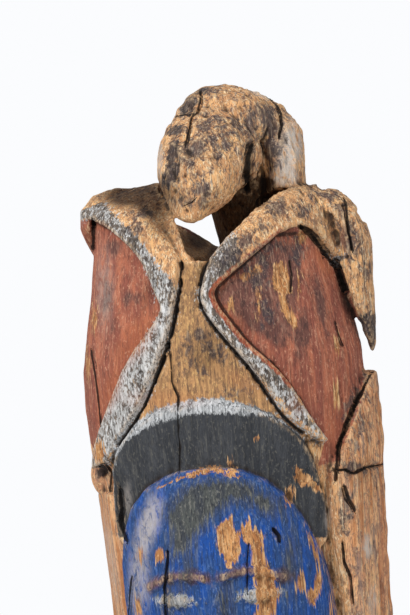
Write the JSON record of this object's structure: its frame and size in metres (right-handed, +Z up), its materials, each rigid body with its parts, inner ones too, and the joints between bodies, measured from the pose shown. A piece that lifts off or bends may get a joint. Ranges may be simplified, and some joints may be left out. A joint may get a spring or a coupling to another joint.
{
  "type": "ancestor figure",
  "caption": "Carved and painted wooden ancestor figure that stands on its own low base, with a bowed bird perched over its long face.",
  "frame": {"origin": "centre of the log at the underside of the base, on the floor", "axes": "+Z up along the figure, -Y to the front where the face looks, +X to the viewer's right"},
  "size_m": [0.3089, 0.303, 1.48],
  "materials": {
    "carved_wood": "weathered, worn earth paint"
  },
  "bodies": {
    "root": {"ancestor_figure": "carved_wood"}
  },
  "joints": []
}
